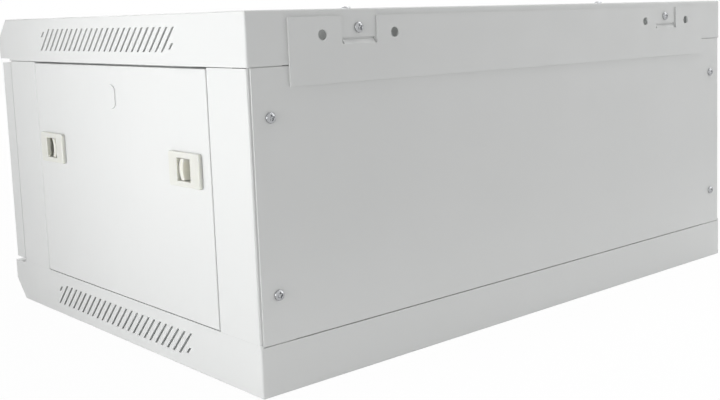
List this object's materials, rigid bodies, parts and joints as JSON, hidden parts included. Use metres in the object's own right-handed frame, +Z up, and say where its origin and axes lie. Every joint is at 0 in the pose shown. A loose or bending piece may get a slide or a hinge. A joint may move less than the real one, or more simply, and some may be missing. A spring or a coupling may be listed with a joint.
{
  "type": "wall-mount rack cabinet",
  "caption": "Wall-mount rack cabinet of folded light grey sheet steel with a glazed locking door, latched lift-off side panels, slanted vents and a rear hanging rail.",
  "frame": {"origin": "middle of the underside of the base, on the surface it stands on", "axes": "+X to the right seen from the door, -Y out of the door, +Y to the wall, +Z up"},
  "size_m": [0.6072, 0.4484, 0.2824],
  "materials": {
    "paint": "fine powder coat",
    "zinc": "zinc plated",
    "steel": "zinc plated",
    "nickel": "nickel plated",
    "brass": "plain",
    "glass": "clear, toughened",
    "rubber": "matt",
    "latch_plastic": "satin",
    "slide_plastic": "satin",
    "nylon": "matt"
  },
  "bodies": {
    "cabinet": {"roof": "paint", "base": "paint", "front_post_right": "paint", "front_post_left": "paint", "rear_post_right": "paint", "rear_post_left": "paint", "back_panel": "paint", "wall_rail": "paint", "roof_cable_cover": "paint", "base_cable_cover": "paint", "lower_bar_right": "zinc", "lower_bar_left": "zinc", "upper_bar_right": "zinc", "upper_bar_left": "zinc", "back_panel_screws": "steel", "wall_rail_screws": "steel", "roof_cover_screws": "steel", "base_cover_screws": "steel", "lower_hinge_pin": "steel", "earth_stud": "brass", "hinge_washer": "nylon"},
    "door": {"door_frame": "paint", "door_glass": "glass", "glass_seal": "rubber", "glass_clips": "steel", "lock_barrel": "nickel", "lock_nut": "steel", "hinge_sleeve": "steel"},
    "lock": {"lock_plug": "nickel", "lock_cam": "steel", "cam_screw": "steel"},
    "hinge_pin": {"hinge_release_pin": "steel"},
    "right_panel": {"side_panel_right": "paint", "latch_case_rear_right": "latch_plastic", "latch_case_front_right": "latch_plastic"},
    "left_panel": {"side_panel_left": "paint", "latch_case_rear_left": "latch_plastic", "latch_case_front_left": "latch_plastic"},
    "rear_right_latch": {"latch_slide_rear_right": "slide_plastic"},
    "front_right_latch": {"latch_slide_front_right": "slide_plastic"},
    "rear_left_latch": {"latch_slide_rear_left": "slide_plastic"},
    "front_left_latch": {"latch_slide_front_left": "slide_plastic"},
    "right_rack_rail": {"rack_rail_right": "zinc", "rack_bolts_right": "steel"},
    "left_rack_rail": {"rack_rail_left": "zinc", "rack_bolts_left": "steel"}
  },
  "joints": [
    {"name": "door_swing", "type": "hinge", "parent": "cabinet", "child": "door", "pos_m": [-0.293, -0.2115, 0.14], "axis": [0, 0, -1], "range_deg": [0, 180]},
    {"name": "lock_turn", "type": "hinge", "parent": "door", "child": "lock", "pos_m": [0.256, -0.205, 0.14], "axis": [0, -1, 0], "range_deg": [0, 90]},
    {"name": "hinge_pin_draw", "type": "slide", "parent": "door", "child": "hinge_pin", "axis": [0, 0, -1], "range_m": [0, 0.006], "stiffness_N_per_m": 250, "springref_m": -0.004},
    {"name": "right_panel_off", "type": "slide", "parent": "cabinet", "child": "right_panel", "axis": [1, 0, 0], "range_m": [0, 0.12]},
    {"name": "left_panel_off", "type": "slide", "parent": "cabinet", "child": "left_panel", "axis": [-1, 0, 0], "range_m": [0, 0.12]},
    {"name": "rear_right_latch_slide", "type": "slide", "parent": "right_panel", "child": "rear_right_latch", "axis": [0, 1, 0], "range_m": [0, 0.005]},
    {"name": "front_right_latch_slide", "type": "slide", "parent": "right_panel", "child": "front_right_latch", "axis": [0, -1, 0], "range_m": [0, 0.005]},
    {"name": "rear_left_latch_slide", "type": "slide", "parent": "left_panel", "child": "rear_left_latch", "axis": [0, 1, 0], "range_m": [0, 0.005]},
    {"name": "front_left_latch_slide", "type": "slide", "parent": "left_panel", "child": "front_left_latch", "axis": [0, -1, 0], "range_m": [0, 0.005]},
    {"name": "right_rail_depth", "type": "slide", "parent": "cabinet", "child": "right_rack_rail", "axis": [0, 1, 0], "range_m": [-0.01, 0.2]},
    {"name": "left_rail_depth", "type": "slide", "parent": "cabinet", "child": "left_rack_rail", "axis": [0, 1, 0], "range_m": [-0.01, 0.2]}
  ]
}
